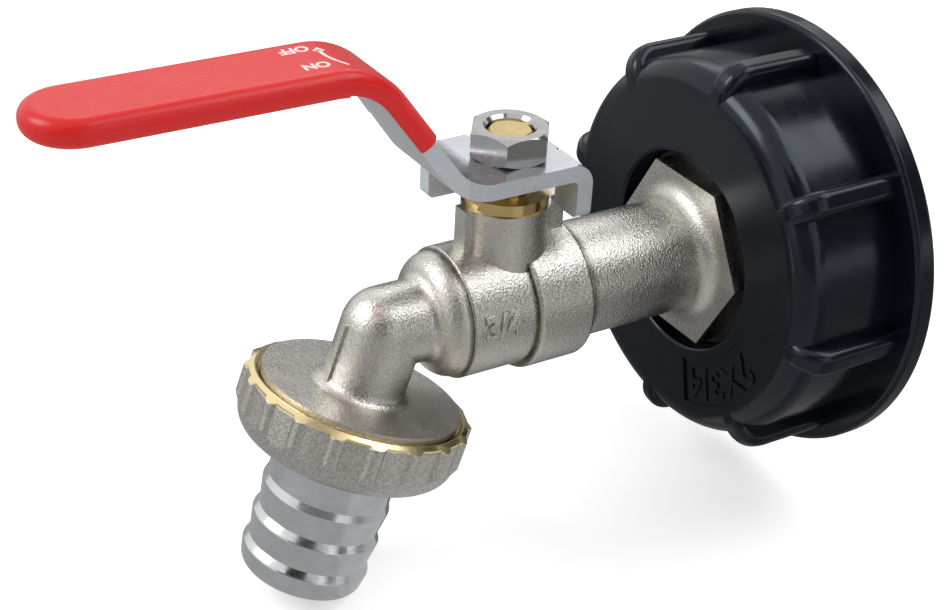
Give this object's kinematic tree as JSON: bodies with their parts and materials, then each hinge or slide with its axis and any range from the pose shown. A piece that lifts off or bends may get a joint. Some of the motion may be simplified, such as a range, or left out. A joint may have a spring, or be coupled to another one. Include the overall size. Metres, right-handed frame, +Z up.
{
  "type": "tank tap",
  "caption": "Ball tap with a red lever on a ribbed screw cap for a tank outlet, with an elbowed spout and a hose union.",
  "frame": {"origin": "centre of the cap's mouth, on the rear face of its flange", "axes": "+Y along the cap's thread towards the tank, +Z up the valve stem, +X across; the lever points to -Y at rest"},
  "size_m": [0.0848, 0.15, 0.1028],
  "materials": {
    "cap": "glossy black moulding",
    "rubber": "matt",
    "nickel": "nickel plate on rough cast brass",
    "satin_nickel": "satin nickel plate",
    "seat": "white, waxy",
    "brass": "turned",
    "zinc_steel": "bright zinc plate",
    "bright_steel": "polished",
    "sleeve": "glossy soft vinyl"
  },
  "bodies": {
    "tap": {"tank_cap": "cap", "tank_gasket": "rubber", "inlet_washer": "rubber", "inlet_connector": "nickel", "tap_body": "nickel", "inlet_seat": "seat", "outlet_seat": "seat", "thrust_washer": "seat", "stem_packing": "seat", "gland_nut": "brass"},
    "lever": {"lever_plate": "zinc_steel", "lever_sleeve": "sleeve", "lever_nut": "bright_steel", "stem": "brass", "ball": "bright_steel"},
    "hose_tail": {"hose_tail": "satin_nickel", "hose_washer": "rubber"},
    "union_nut": {"union_nut": "satin_nickel"}
  },
  "joints": [
    {"name": "lever_turn", "type": "hinge", "parent": "tap", "child": "lever", "pos_m": [0, -0.0648, 0], "axis": [0, 0, 1], "range_deg": [-90, 0]},
    {"name": "union_travel", "type": "slide", "parent": "tap", "child": "hose_tail", "axis": [0, -0.3239, -0.9461], "range_m": [0, 0.00462]},
    {"name": "union_turn", "type": "hinge", "parent": "hose_tail", "child": "union_nut", "pos_m": [0, -0.09249, -0.01107], "axis": [0, -0.3239, -0.9461], "range_deg": [0, 720]}
  ],
  "couplings": [
    {"joint": "union_turn", "follows": "union_travel", "rad_per_m": 2721.2}
  ]
}
